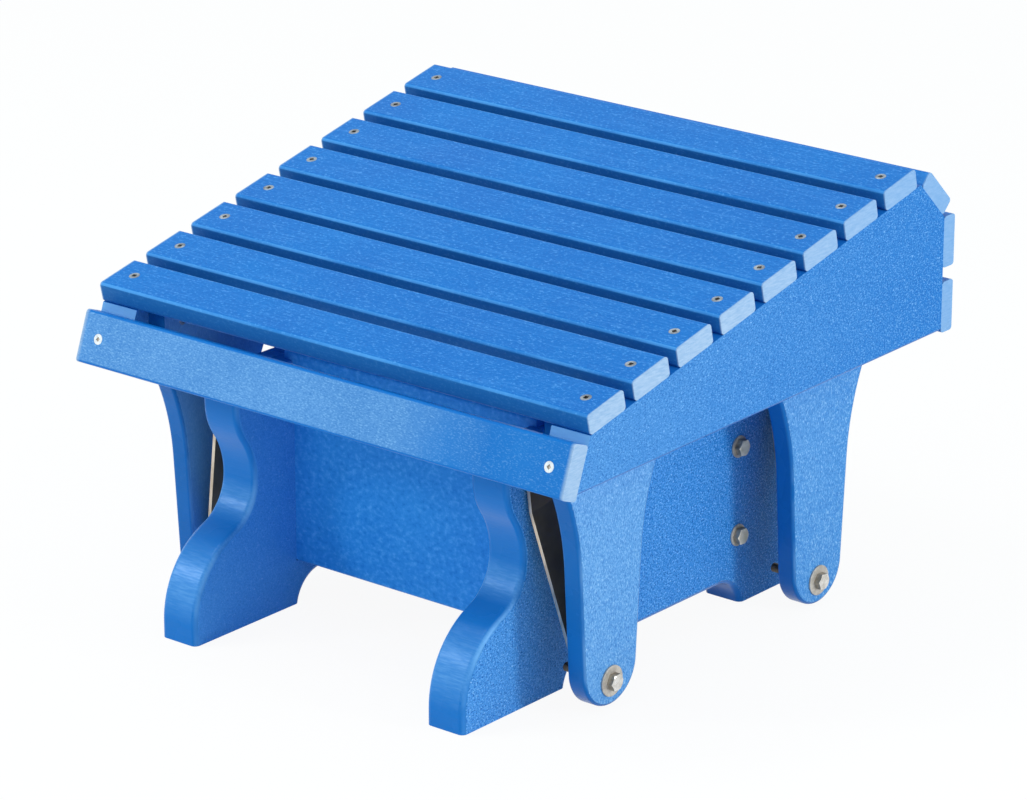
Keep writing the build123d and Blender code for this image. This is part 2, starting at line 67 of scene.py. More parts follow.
BOLT_FLATS = 13.0 * MM          # across the flats of heads and nuts
BOLT_HEIGHT = 5.5 * MM
BOLT_CROWN = 6.2 * MM           # radius of the round flat on top
BOLT_SLOPE = 30.0               # degrees, of the cone that cuts the corners
BOLT_BREAK = 0.25 * MM          # narrow slope round the crown
BOLT_DISH = 0.12 * MM           # depth of the dished top
BOLT_RADIUS = 4.0 * MM
SHANK_RADIUS = BOLT_RADIUS - 0.1 * MM
BOLT_TIP = 0.8 * MM             # slope round the far end
THREAD = 1.25 * MM              # from one turn to the next
THREAD_DEPTH = 0.5 * MM
THREAD_ROWS = 8                 # rows of points to a turn
LOWER_THREAD = 10.5 * MM        # lengths of the pivot bolts' threads
UPPER_THREAD = 4.0 * MM

NUT_HEX = 6.0 * MM              # height of the hexagon
NUT_HEIGHT = 8.0 * MM
NUT_COLLAR = 5.6 * MM           # radii of the collar and of its mouth
NUT_MOUTH = 4.7 * MM
NUT_INSERT_DROP = 0.3 * MM      # how far the insert falls to the bore

BORE = BOLT_RADIUS + 0.05 * MM
OPEN_BORE = BOLT_RADIUS + 1.5 * MM    # the rear links' lower bearings
WASHER_THICK = 1.6 * MM
SPACER_THICK = 2.0 * MM
LARGE_WASHER = 13.0 * MM        # outer radii; a spacer has the small washers'
BASE_WASHER = 9.5 * MM
SMALL_WASHER = 8.0 * MM
LARGE_EASE = 0.35 * MM          # rounds on their edges
SMALL_EASE = 0.3 * MM

SCREW_HEAD = 4.7 * MM           # radii of head, shank and tip
SCREW_SHANK = 2.1 * MM
SCREW_TIP = 0.3 * MM
SCREW_POINT = 4.0 * MM          # length of the point
SCREW_RIM = 0.25 * MM           # round on the head's edge
BOARD_SCREW = 50.0 * MM         # lengths of the screws
HANGER_SCREW = 38.0 * MM
SLAT_RECESS = 3.7 * MM          # widths of the square recesses
APRON_RECESS = 3.2 * MM
HANGER_RECESS = 4.6 * MM

BEARING_HALF = 3.5 * MM         # half the width
BEARING_RADIUS = 11.0 * MM
OUTER_RACE = 9.3 * MM           # where the outer race begins
INNER_RACE = 1.5 * MM           # thickness of the inner race
BEARING_EASE = 0.4 * MM
SEAL_SINK = 0.35 * MM           # how far the seal lies below the races
SEAL_GROOVE = 0.12 * MM

# ------------------------------------------------------------------------------- the materials


class Value:
    """One output in a node tree. Arithmetic on it adds the matching Math node."""

    def __init__(self, tree, socket):
        self.tree = tree
        self.socket = socket

    def math(self, operation, *others, clamp=False):
        """A Math node on this value and the others, in that order."""
        node = self.tree.nodes.new("ShaderNodeMath")
        node.operation = operation
        node.use_clamp = clamp
        for place, item in zip(node.inputs, (self, *others)):
            feed(self.tree, place, item)
        return Value(self.tree, node.outputs[0])

    def __add__(self, other):
        return self.math("ADD", other)

    __radd__ = __add__

    def __mul__(self, other):
        return self.math("MULTIPLY", other)

    __rmul__ = __mul__

    def __sub__(self, other):
        return self.math("SUBTRACT", other)

    def __rsub__(self, other):
        return (self * -1.0) + other

    def __abs__(self):
        return self.math("ABSOLUTE")

    def ramp(self, low, high):
        """0 below low, 1 above high, and straight between; high below low turns it round."""
        share = (self - low) * (1.0 / (high - low))
        return share.math("ADD", 0.0, clamp=True)


def feed(tree, place, item):
    """Sets an input to a constant, or joins it to a value's output."""
    if isinstance(item, Value):
        tree.links.new(item.socket, place)
    else:
        place.default_value = item


class Look:
    """The node tree of a material or of the world, being put together."""

    def __init__(self, owner):
        owner.use_nodes = True
        self.owner = owner
        self.tree = owner.node_tree
        self.tree.nodes.clear()

    def add(self, kind, settings=None, sockets=None, out=0):
        """Any node: its type, its settings and its inputs; the value is the output asked for."""
        node = self.tree.nodes.new(kind)
        for key, item in (settings or {}).items():
            setattr(node, key, item)
        for key, item in (sockets or {}).items():
            feed(self.tree, node.inputs[key], item)
        return Value(self.tree, node.outputs[out]) if node.outputs else None

    def place(self, scale=(1.0, 1.0, 1.0), shift=(0.0, 0.0, 0.0)):
        """The point on the piece, in metres, stretched and shifted."""
        here = self.add("ShaderNodeTexCoord", out="Object")
        sockets = {"Vector": here, "Scale": scale, "Location": shift}
        return self.add("ShaderNodeMapping", sockets=sockets)

    def normal(self):
        """The way the surface faces."""
        return self.add("ShaderNodeTexCoord", out="Normal")

    def facing(self, rise):
        """How squarely the surface faces the front and, by that many degrees, up."""
        turn = math.radians(rise)
        way = (0.0, -math.cos(turn), math.sin(turn))
        settings = {"operation": "DOT_PRODUCT"}
        return self.add("ShaderNodeVectorMath", settings, {0: self.normal(), 1: way}, "Value")

    def noise(self, where, scale, detail=2.0, rough=0.5):
        """Soft noise about 0.5; scale is in waves to the metre."""
        sockets = {"Vector": where, "Scale": scale, "Detail": detail, "Roughness": rough}
        return self.add("ShaderNodeTexNoise", sockets=sockets)

    def split(self, vector):
        """The three parts of a vector."""
        node = self.tree.nodes.new("ShaderNodeSeparateXYZ")
        feed(self.tree, node.inputs[0], vector)
        return [Value(self.tree, out) for out in node.outputs]

    def mix(self, share, first, second):
        """The first colour where share is 0 and the second where it is 1."""
        settings = {"data_type": "RGBA"}
        return self.add("ShaderNodeMix", settings, {0: share, 6: first, 7: second}, 2)

    def bump(self, height, depth, strength):
        """The normal of a surface with that height, in metres times depth."""
        sockets = {"Height": height, "Distance": depth, "Strength": strength}
        return self.add("ShaderNodeBump", sockets=sockets)

    def shade(self, **sockets):
        """The surface itself."""
        named = {key.replace("_", " "): item for key, item in sockets.items()}
        return self.add("ShaderNodeBsdfPrincipled", sockets=named)

    def finish(self, surface, output="ShaderNodeOutputMaterial"):
        """Joins the surface to the output, and gives the finished material or world."""
        self.add(output, sockets={"Surface": surface})
        return self.owner


def material_look(name):
    """An empty look for a new material."""
    return Look(bpy.data.materials.new(name))


def rgb(red, green, blue):
    """A colour given as 0 to 255 display values, as the linear one a shader takes."""
    parts = []
    for part in (red, green, blue):
        part = part / 255.0
        parts.append(part / 12.92 if part <= 0.04045 else ((part + 0.055) / 1.055) ** 2.4)
    return (*parts, 1.0)


SMOOTH = rgb(2, 109, 197)
SMOOTH_LIGHT = rgb(10, 118, 204)
SAWN = rgb(178, 199, 228)
SAWN_DARK = rgb(148, 178, 216)
SAWN_REAR_SHADE = rgb(92, 152, 214)
GLOSS_TINT = rgb(70, 170, 255)


def lumber(look, gloss, **sockets):
    """The surface of a lumber board: its gloss takes on some of its own blue."""
    surface = look.shade(Specular_IOR_Level=gloss, Specular_Tint=GLOSS_TINT, **sockets)
    return look.finish(surface)


def pale_ends(look, where, base, blend):
    """The sawn ends' share of the surface, and the base colour with those ends laid over it.

    The saw leaves streaks along the length of the end, and painted shade makes the ends darker to
    the back.
    """
    across, back, _ = look.split(where)
    end = abs(across).ramp(BOARD_END - blend, BOARD_END)
    saw = look.noise(look.place((1.0, 1.0, 5.0)), 120.0, 3.0, 0.6)
    cut = look.mix(saw.ramp(0.3, 0.72), SAWN_DARK, SAWN)
    # painted shade: the sawn ends darker towards the back
    cut = look.mix(back.ramp(-0.05, 0.3) * 0.62, cut, SAWN_REAR_SHADE)
    return end, look.mix(end, base, cut)


def cut_board(name, face, light, dark, edge, speck, stretch, pale=0.0):
    """A board cut from sheet: its two sides are square to X and speckled, its edges are smooth.

    The side is face with light and dark flecks, the light ones partly painted sparkle, and is
    painted paler to the front as sheen; the flecks are weaker where it looks inwards, as painted
    shade. speck is how strong the flecks are, stretch how short they are along X, Y and Z, and
    pale how much of the light colour shows on an end that faces the front.
    """
    look = material_look(name)
    where = look.place()
    across, along, _ = look.split(where)
    sideways, backwards, upwards = look.split(look.normal())
    flecks = look.noise(look.place(stretch), 740.0, 2.0, 0.6)
    dots = look.noise(look.place(shift=(0.31, 0.17, 0.53)), 900.0, 2.0, 0.6)
    grain = flecks * 0.65 + dots * 0.35
    cloud = look.noise(where, 18.0, 3.0, 0.5)
    brush = look.noise(look.place((0.12, 1.0, 1.0)), 640.0, 2.0, 0.6)

    # the speckled sides, painted paler to the front as sheen, and the smooth edges
    flat = abs(sideways).ramp(0.93, 0.985)
    # flecks show at full strength only where a side faces away from the middle: painted shade
    # weakens them on inward faces
    outwards = (sideways * across).ramp(0.0, 0.08)
    speck = flat * speck * (0.3 + 0.7 * outwards)
    front_sheen = along.ramp(0.26, -0.26)
    ground = look.mix(cloud.ramp(0.2, 0.8) * 0.08 + front_sheen * 0.26, face, light)
    base = look.mix(cloud.ramp(0.3, 0.75) * 0.3, edge, SMOOTH_LIGHT)
    base = look.mix(flat, base, ground)

    # painted highlight on the rounds that look up, painted light on ledges that look up, and a
    # lighter end that faces the front
    rim = abs(sideways).ramp(0.35, 0.75) * (1.0 - flat) * upwards.ramp(-0.2, 0.2)
    base = look.mix(rim * cloud.ramp(0.35, 0.6) * 0.6, base, light)
    # painted light on the smooth edges where they look up, broken by brush streaks
    ledge = upwards.ramp(0.05, 0.35) * upwards.ramp(0.85, 0.6)
    ledge_light = ledge * (0.22 + 0.2 * brush.ramp(0.4, 0.7))
    base = look.mix(ledge_light * (1.0 - flat), base, light)
    if pale:
        base = look.mix(backwards.ramp(-0.75, -0.9) * pale, base, light)

    # flecks: the light ones partly the board's speckle and partly painted sparkle, the whitest
    # dots painted glints, and dark ones
    base = look.mix(grain.ramp(0.52, 0.66) * speck, base, light)
    base = look.mix(grain.ramp(0.64, 0.72) * speck * 0.7, base, rgb(206, 228, 250))
    base = look.mix(grain.ramp(0.48, 0.34) * speck, base, dark)
    return lumber(
        look,
        0.22,
        Base_Color=base,
        Roughness=0.28 + 0.18 * flat + (cloud - 0.5) * 0.12,
        Normal=look.bump(grain * speck + brush * 0.15, 0.001, 0.9),
        Coat_Weight=(1.0 - flat) * (0.04 + 0.14 * brush.ramp(0.35, 0.65)),
        Coat_Roughness=0.24,
    )


def slat_board(name):
    """A smooth extruded board with faint streaks along its length and pale sawn ends.

    Its front edge is painted darker as shade between the slats, and the round over that edge
    carries a painted highlight in places.
    """
    look = material_look(name)
    where = look.place()
    streaks = look.noise(look.place((0.05, 1.0, 1.0)), 330.0, 3.0, 0.6)
    specks = look.noise(look.place((0.6, 1.0, 1.0)), 520.0, 3.0, 0.65)
    cloud = look.noise(where, 12.0, 3.0, 0.55)
    base = look.mix(cloud.ramp(0.3, 0.75), SMOOTH, SMOOTH_LIGHT)
    base = look.mix(streaks.ramp(0.52, 0.72) * 0.4, base, rgb(70, 148, 226))
    base = look.mix(specks.ramp(0.54, 0.7) * 0.7, base, rgb(92, 164, 234))
    base = look.mix(specks.ramp(0.45, 0.3) * 0.7, base, rgb(10, 100, 188))
    front = look.facing(-SLAT_SLOPE).ramp(0.8, 0.97)
    corner = look.facing(45.0 - SLAT_SLOPE).ramp(0.84, 0.96)
    # painted shade: the front edge darker, as in the gaps between the slats
    base = look.mix(front * 0.7, base, rgb(40, 101, 161))
    # painted highlight on the round over the front edge, in places
    base = look.mix(corner * cloud.ramp(0.2, 0.6) * 0.7, base, rgb(92, 166, 236))
    end, base = pale_ends(look, where, base, SLAT_END_BLEND)
    return lumber(
        look,
        0.15,
        Base_Color=base,
        Roughness=0.4 + (cloud - 0.5) * 0.12 + end * 0.2,
        Normal=look.bump(streaks * 0.4 + specks * 0.6, 0.0004, 0.7),
    )


def apron_board(name):
    """The front board: its broad outer face is painted pale as sheen but for a stretch at the
    right.
    """
    look = material_look(name)
    where = look.place()
    face = look.facing(APRON_LEAN).ramp(0.9, 0.985)
    grain = look.noise(look.place((0.45, 1.0, 1.0)), 980.0, 2.0, 0.6)
    cloud = look.noise(where, 16.0, 3.0, 0.5)
    # painted sheen: the broad outer face pale, fading out over a stretch at the right
    sheen_reach = (look.split(where)[0] + (cloud - 0.5) * 0.12).ramp(0.17, 0.08)
    sheen_colour = look.mix(cloud.ramp(0.3, 0.7), rgb(90, 147, 211), rgb(102, 157, 219))
    base = look.mix(cloud.ramp(0.3, 0.75), SMOOTH, SMOOTH_LIGHT)
    base = look.mix(face * (0.14 + 0.8 * sheen_reach), base, sheen_colour)
    # its grain shows more strongly where the painted sheen lies
    shown = face * (0.24 + 0.3 * sheen_reach)
    base = look.mix(grain.ramp(0.54, 0.68) * shown, base, rgb(150, 200, 244))
    base = look.mix(grain.ramp(0.46, 0.32) * shown, base, rgb(36, 110, 190))
    end, base = pale_ends(look, where, base, APRON_END_BLEND)
    return lumber(
        look,
        0.3,
        Base_Color=base,
        Roughness=0.4 + 0.15 * face + end * 0.2,
        Normal=look.bump(grain, 0.0004, 0.7),
    )


def mottled_board(name):
    """A board between the side panels, faintly mottled, its blue painted lighter to stand in for
    light that the seat keeps off it.
    """
    look = material_look(name)
    mottle = look.noise(look.place((0.8, 1.0, 1.0)), 260.0, 4.0, 0.65)
    cloud = look.noise(look.place(), 14.0, 3.0, 0.5)
    # painted light: a paler blue than the other boards
    base = look.mix(cloud.ramp(0.3, 0.7), rgb(44, 134, 220), rgb(50, 142, 226))
    base = look.mix(mottle.ramp(0.5, 0.7) * 0.6, base, rgb(92, 172, 244))
    base = look.mix(mottle.ramp(0.46, 0.32) * 0.55, base, rgb(24, 112, 204))
    return lumber(
        look,
        0.3,
        Base_Color=base,
        Roughness=0.45 + (cloud - 0.5) * 0.1,
        Normal=look.bump(mottle, 0.0003, 0.6),
    )


def steel(name, light, dark, rough, grain=700.0, metal=0.78):
    """Bright metal with a fine uneven polish, grain waves to the metre, and duller patches."""
    look = material_look(name)
    where = look.place()
    fine = look.noise(where, grain, 3.0, 0.6)
    cloud = look.noise(where, 170.0, 3.0, 0.6)
    surface = look.shade(
        Base_Color=look.mix(cloud.ramp(0.35, 0.65), dark, light),
        Metallic=metal,
        Roughness=rough + (fine - 0.5) * 0.16 + (cloud - 0.5) * 0.1,
        Normal=look.bump(fine, 0.00004, 0.6),
    )
    return look.finish(surface)


def soft_plastic(name, dark, light, scale, rough):
    """A matt, faintly cloudy plastic or rubber; scale is in waves to the metre."""
    look = material_look(name)
    cloud = look.noise(look.place(), scale)
    base = look.mix(cloud.ramp(0.3, 0.7), dark, light)
    return look.finish(look.shade(Base_Color=base, Roughness=rough))


def link_steel(name):
    """Dark rolled face on a flat bar, with bright cut edges milled along its length."""
    look = material_look(name)
    edge = abs(look.split(look.normal())[0]).ramp(0.75, 0.3)
    mill = look.noise(look.place((1.0, 1.0, 0.12)), 420.0, 3.0, 0.6)
    cloud = look.noise(look.place(), 30.0, 3.0, 0.6)
    rolled = look.mix(cloud.ramp(0.3, 0.7), rgb(82, 68, 54), rgb(106, 90, 72))
    milled = look.mix(mill.ramp(0.35, 0.65), rgb(196, 182, 162), rgb(224, 214, 198))
    surface = look.shade(
        Base_Color=look.mix(edge, rolled, milled),
        Metallic=0.35 + 0.65 * edge,
        Roughness=0.42 + (mill - 0.5) * 0.22,
        Normal=look.bump(mill, 0.00005, 0.5),
    )
    return look.finish(surface)


looks = {
    "slat": slat_board("slat_lumber"),
    "apron": apron_board("apron_lumber"),
    "between": mottled_board("stretcher_lumber_painted_light"),
    "rail": cut_board(
        "rail_lumber",
        face=rgb(16, 114, 198),
        light=rgb(130, 187, 240),
        dark=rgb(4, 84, 170),
        edge=rgb(24, 104, 188),
        speck=0.75,
        stretch=(1.0, 0.62, 1.1),
        pale=0.65,
    ),
    "hanger": cut_board(
        "hanger_lumber",
        face=rgb(60, 138, 212),
        light=rgb(164, 208, 248),
        dark=rgb(24, 98, 184),
        edge=rgb(22, 102, 178),
        speck=0.75,
        stretch=(1.0, 1.15, 0.6),
    ),
    "panel": cut_board(
        "panel_lumber",
        face=rgb(16, 126, 214),
        light=rgb(132, 194, 253),
        dark=rgb(4, 88, 178),
        edge=rgb(30, 118, 200),
        speck=1.15,
        stretch=(1.0, 0.7, 1.0),
    ),
    "stainless": steel("stainless", rgb(232, 229, 224), rgb(200, 195, 187), 0.24, 900.0),
    # painted shade: the hex heads' sides darker than their tops, on a rougher, less metallic
    # finish
    "forged_and_shaded": steel("bolt_sides_painted_shade", rgb(176, 164, 148), rgb(126, 114, 100), 0.34, metal=0.35),
    # painted light: a paler, less metallic steel that lifts the base bolts out of the hangers'
    # shade
    "lit_satin": steel("bolt_steel_painted_light", rgb(252, 240, 222), rgb(226, 212, 192), 0.36, metal=0.3),
    # painted light: a paler, less metallic steel for the apron screws' heads
    "head": steel("screw_head_painted_light", rgb(236, 240, 244), rgb(206, 211, 218), 0.34, metal=0.3),
    "washer": steel("washer_steel", rgb(206, 197, 188), rgb(178, 168, 160), 0.5, metal=0.4),
    # painted shade: a dark steel for the nuts, the bolts' shanks and the spacers and washers on
    # the inner side of the lower pivots
    "shaded": steel("steel_in_painted_shade", rgb(98, 92, 84), rgb(72, 67, 60), 0.4),
    # painted shade: a dark steel in the recesses of the slat and hanger screws
    "recess": steel("recess_painted_shade", rgb(140, 138, 136), rgb(58, 56, 54), 0.3, 900.0),
    "screw": steel("screw_steel", rgb(168, 180, 192), rgb(112, 120, 128), 0.36, 900.0, 0.6),
    "bearing": steel("bearing_steel", rgb(196, 196, 196), rgb(156, 156, 156), 0.18, 1200.0),
    "insert": soft_plastic("nut_insert", rgb(206, 208, 202), rgb(224, 226, 220), 300.0, 0.5),
    "seal": soft_plastic("bearing_seal", rgb(30, 30, 31), rgb(46, 46, 47), 400.0, 0.6),
    "link": link_steel("link_steel"),
}

# A word in a CAD node's name, and the look that it gets. The first word that fits counts, and a
# node that none fits is a bolt, a nut, a washer or a spacer.
DRESSES = (
    ("screws", "stainless"),
    ("slat", "slat"),
    ("apron", "apron"),
    ("stretcher", "between"),
    ("hanger", "hanger"),
    ("rail", "rail"),
    ("panel", "panel"),
    ("bearings", "bearing"),
    ("link", "link"),
)
for name, node in nodes.items():
    look = next((dress for word, dress in DRESSES if word in name), "stainless")
    node.data.materials.clear()
    node.data.materials.append(looks[look])

# ---------------------------------------------------------------------------------- the shells
# Small turned and hexagonal forms are gathered from sheets of points. A sheet is an array of
# rows by columns by 3 whose columns go once round the Z axis and close on themselves. Every
# sheet is smooth in itself and creased against its neighbours.


class Shell:
    """Sheets and flat caps in one local frame, welded into one closed mesh at the end.

    Each has the number of its material in the piece's list.
    """

    def __init__(self):
        self.sheets = []
        self.caps = []

    def sheet(self, points, material=0):
        """Adds a sheet whose rows run so that columns, then rows, turn right-handed outwards."""
        self.sheets.append((points, material))

    def cap(self, ring, material=0):
        """Adds a flat cap on a ring of points that runs anticlockwise seen from outside."""
        self.caps.append((ring, material))

    def placed(self, matrix, origin):
        """The same forms turned by a 3 by 3 matrix and moved to an origin."""
        moved = Shell()
        moved.sheets = [(points @ matrix.T + origin, kind) for points, kind in self.sheets]
        moved.caps = [(ring @ matrix.T + origin, kind) for ring, kind in self.caps]
        return moved


def sheet_normals(points):
    """The normal at every point: the cross product of the differences along columns and rows."""
    across = np.roll(points, -1, axis=1) - np.roll(points, 1, axis=1)
    down = np.gradient(points, axis=0)
    normals = np.cross(across, down)
    length = np.linalg.norm(normals, axis=2, keepdims=True)
    return normals / np.maximum(length, 1e-12)


def gather(shells):
    """All points and normals, the faces' corners, and each face's corner count and material.

    A sheet's face joins a point, the next in its row and the two below; a cap is one face.
    """
    points, normals, corners, sizes, kinds = [], [], [], [], []
    base = 0
    for shell in shells:
        for sheet, kind in shell.sheets:
            rows, columns = sheet.shape[:2]
            index = np.arange(rows * columns).reshape(rows, columns) + base
            right = np.roll(index, -1, axis=1)
            quads = np.stack([index[:-1], right[:-1], right[1:], index[1:]], axis=-1)
            points.append(sheet.reshape(-1, 3))
            normals.append(sheet_normals(sheet).reshape(-1, 3))
            corners.append(quads.reshape(-1))
            sizes.append(np.full(quads.size // 4, 4))
            kinds.append(np.full(quads.size // 4, kind))
            base += rows * columns
        for ring, kind in shell.caps:
            edge = np.roll(ring, -1, axis=0) - ring
            flat = np.cross(edge[0], edge[len(ring) // 4])
            points.append(ring)
            normals.append(np.tile(flat / np.linalg.norm(flat), (len(ring), 1)))
            corners.append(np.arange(len(ring)) + base)
            sizes.append(np.array([len(ring)]))
            kinds.append(np.array([kind]))
            base += len(ring)
    return [np.concatenate(part) for part in (points, normals, corners, sizes, kinds)]


def build(name, shells, body, replaced, materials):
    """One object from many shells, welded, with exact normals at every corner of every face."""
    points, normals, corners, sizes, kinds = gather(shells)
    _, first, same = np.unique(
        np.round(points, 7), axis=0, return_index=True, return_inverse=True
    )
    welded = same.reshape(-1)[corners]
    starts = np.cumsum(sizes) - sizes
    mesh = bpy.data.meshes.new(name)
    mesh.vertices.add(len(first))
    mesh.vertices.foreach_set("co", points[first].astype(np.float32).ravel())
    mesh.loops.add(len(corners))
    mesh.loops.foreach_set("vertex_index", welded.astype(np.int32))
    mesh.polygons.add(len(sizes))
    mesh.polygons.foreach_set("loop_start", starts.astype(np.int32))
    mesh.polygons.foreach_set("material_index", kinds.astype(np.int32))
    for material in materials:
        mesh.materials.append(material)
    mesh.update(calc_edges=True)
    mesh.polygons.foreach_set("use_smooth", np.ones(len(sizes), dtype=bool))
    mesh.normals_split_custom_set(normals[corners].tolist())
    piece = bpy.data.objects.new(name, mesh)
    bpy.context.scene.collection.objects.link(piece)
    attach(piece, body)
    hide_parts(*replaced)


def angles(columns):
    """Evenly spaced angles once round, in radians."""
    return np.linspace(0.0, 2.0 * math.pi, columns, endpoint=False)


def sweep(radii, heights, columns=48):
    """A sheet whose point at angle a has the row's radius, which may itself vary with a."""
    turn = angles(columns)
    radii = np.asarray(radii, float)
    if radii.ndim == 1:
        radii = radii[:, None] + 0.0 * turn
    heights = np.asarray(heights, float)
    if heights.ndim == 1:
        heights = heights[:, None] + 0.0 * turn
    return np.stack([radii * np.cos(turn), radii * np.sin(turn), heights], axis=-1)


def many_sided(flats, sides, columns=48):
    """Radius of a regular polygon of that width over its flats, at each angle."""
    step = 2.0 * math.pi / sides
    turn = angles(columns) % step - step / 2.0
    return flats / 2.0 / np.cos(turn)


def cone_drop(hexagon):
    """How far each point of a hexagon is lowered by a cone that starts at the crown's rim."""
    return np.maximum((hexagon - BOLT_CROWN) * math.tan(math.radians(BOLT_SLOPE)), 0.0)


def turned_ring(outer, thick, ease, columns=48):
    """A washer from Z 0 up: a ring round the bore with small quarter-round outer edges."""
    quarter = np.linspace(0.0, math.pi / 2.0, 4)
    bulge = outer - ease + ease * np.sin(quarter)
    rise = ease - ease * np.cos(quarter)
    shell = Shell()
    shell.sheet(sweep([BORE, outer - ease], [0.0, 0.0], columns))
    shell.sheet(sweep(bulge, rise, columns))
    shell.sheet(sweep([outer, outer], [ease, thick - ease], columns))
    shell.sheet(sweep(bulge[::-1], thick - rise[::-1], columns))
    shell.sheet(sweep([outer - ease, BORE], [thick, thick], columns))
    shell.sheet(sweep([BORE, BORE], [thick, 0.0], columns))
    return shell


def hex_bolt(reach, threaded, columns=96):
    """A hex bolt: head on Z 0 and up, shank down to -reach, its end threaded.

    The head is a hexagon cut by a cone. The thread's radius falls and rises once a pitch
    along Z and is shifted by one pitch over a full turn, which makes it a helix. The head's
    sides have material 1, and the shank material 2.
    """
    hexagon = many_sided(BOLT_FLATS, 6, columns)
    top = BOLT_HEIGHT - cone_drop(hexagon)
    zero = np.zeros(columns)
    shell = Shell()
    ring = sweep([BOLT_RADIUS - BOLT_TIP], [-reach], columns)[0]
    shell.cap(ring[::-1], 2)
    tip = sweep([BOLT_RADIUS - BOLT_TIP, SHANK_RADIUS], [-reach, BOLT_TIP - reach], columns)
    shell.sheet(tip, 2)
    plain = BOLT_TIP - reach
    if threaded:
        rows = max(2, int(threaded / THREAD * THREAD_ROWS))
        height = np.linspace(plain, threaded - reach, rows)
        phase = (height[:, None] / THREAD - angles(columns) / (2.0 * math.pi)) % 1.0
        ends = np.minimum(height - height[0], height[-1] - height) / (0.5 * THREAD)
        depth = THREAD_DEPTH * np.clip(ends, 0.0, 1.0)[:, None]
        radii = SHANK_RADIUS - depth * (1.0 - np.abs(2.0 * phase - 1.0))
        shell.sheet(sweep(radii, height, columns), 2)
        plain = threaded - reach
    shell.sheet(sweep([SHANK_RADIUS, SHANK_RADIUS], [plain, 0.0], columns), 2)
    shell.sheet(sweep(np.stack([zero + SHANK_RADIUS, hexagon]), [0.0, 0.0], columns))
    shell.sheet(sweep(np.stack([hexagon, hexagon]), np.stack([zero, top]), columns), 1)
    crown = BOLT_CROWN - BOLT_BREAK
    slope = sweep(
        np.stack([hexagon, zero + crown]), np.stack([top, zero + BOLT_HEIGHT]), columns
    )
    shell.sheet(slope)
    dish = np.linspace(0.0, 1.0, 5)
    radii = crown - dish * 0.8 * BOLT_CROWN
    shell.sheet(sweep(radii, BOLT_HEIGHT - BOLT_DISH * np.sin(dish * math.pi / 2.0), columns))
    shell.cap(sweep(radii[-1:], [BOLT_HEIGHT - BOLT_DISH], columns)[0])
    return shell


def lock_nut(columns=72):
    """A lock nut from Z 0 up: a hexagon cut by a cone at both ends, a collar, a pale insert.

    The insert has material 1.
    """
    hexagon = many_sided(BOLT_FLATS, 6, columns)
    drop = cone_drop(hexagon)
    crown = np.full(columns, BOLT_CROWN)
    zero = np.zeros(columns)
    quarter = np.linspace(0.0, math.pi / 2.0, 6)
    ease = NUT_COLLAR - NUT_MOUTH
    collar = np.concatenate([[NUT_COLLAR], NUT_MOUTH + ease * np.cos(quarter)])
    rise = np.concatenate([[NUT_HEX], NUT_HEIGHT - ease + ease * np.sin(quarter)])
    insert = NUT_HEIGHT - NUT_INSERT_DROP
    rows = (
        ([BORE, BOLT_CROWN], [0.0, 0.0], 0),
        ([crown, hexagon], [zero, drop], 0),
        ([hexagon, hexagon], [drop, NUT_HEX - drop], 0),
        ([hexagon, crown], [NUT_HEX - drop, zero + NUT_HEX], 0),
        ([BOLT_CROWN, NUT_COLLAR], [NUT_HEX, NUT_HEX], 0),
        (collar, rise, 0),
        ([NUT_MOUTH, BORE], [NUT_HEIGHT, insert], 1),
        ([BORE, BORE], [insert, 0.0], 0),
    )
    shell = Shell()
    for radii, heights, material in rows:
        shell.sheet(sweep(radii, heights, columns), material)
    return shell


def screw(length, recess, columns=48):
    """A countersunk screw: flat head in the plane Z 0, point down.

    The square recess has material 1, and narrows to its floor.
    """
    square = many_sided(recess, 4, columns)
    floor_square = many_sided(0.83 * recess, 4, columns)
    deep = -0.34 * recess
    face = SCREW_HEAD - SCREW_RIM * 1.3
    rows = (
        ([SCREW_TIP, SCREW_SHANK], [-length, SCREW_POINT - length], 0),
        ([SCREW_SHANK, SCREW_SHANK], [SCREW_POINT - length, SCREW_SHANK - SCREW_HEAD], 0),
        ([SCREW_SHANK, SCREW_HEAD - SCREW_RIM], [SCREW_SHANK - SCREW_HEAD, -SCREW_RIM * 1.4], 0),
        (
            [SCREW_HEAD - SCREW_RIM, SCREW_HEAD - SCREW_RIM * 0.3, face],
            [-SCREW_RIM * 1.4, -SCREW_RIM * 0.5, 0.0],
            0,
        ),
        ([np.full(columns, face), square], [0.0, 0.0], 0),
        ([square, floor_square], [0.0, deep], 1),
    )
    shell = Shell()
    shell.cap(sweep([SCREW_TIP], [-length], columns)[0][::-1])
    for radii, heights, material in rows:
        shell.sheet(sweep(radii, heights, columns), material)
    shell.cap(sweep([floor_square], [deep], columns)[0], 1)
    return shell


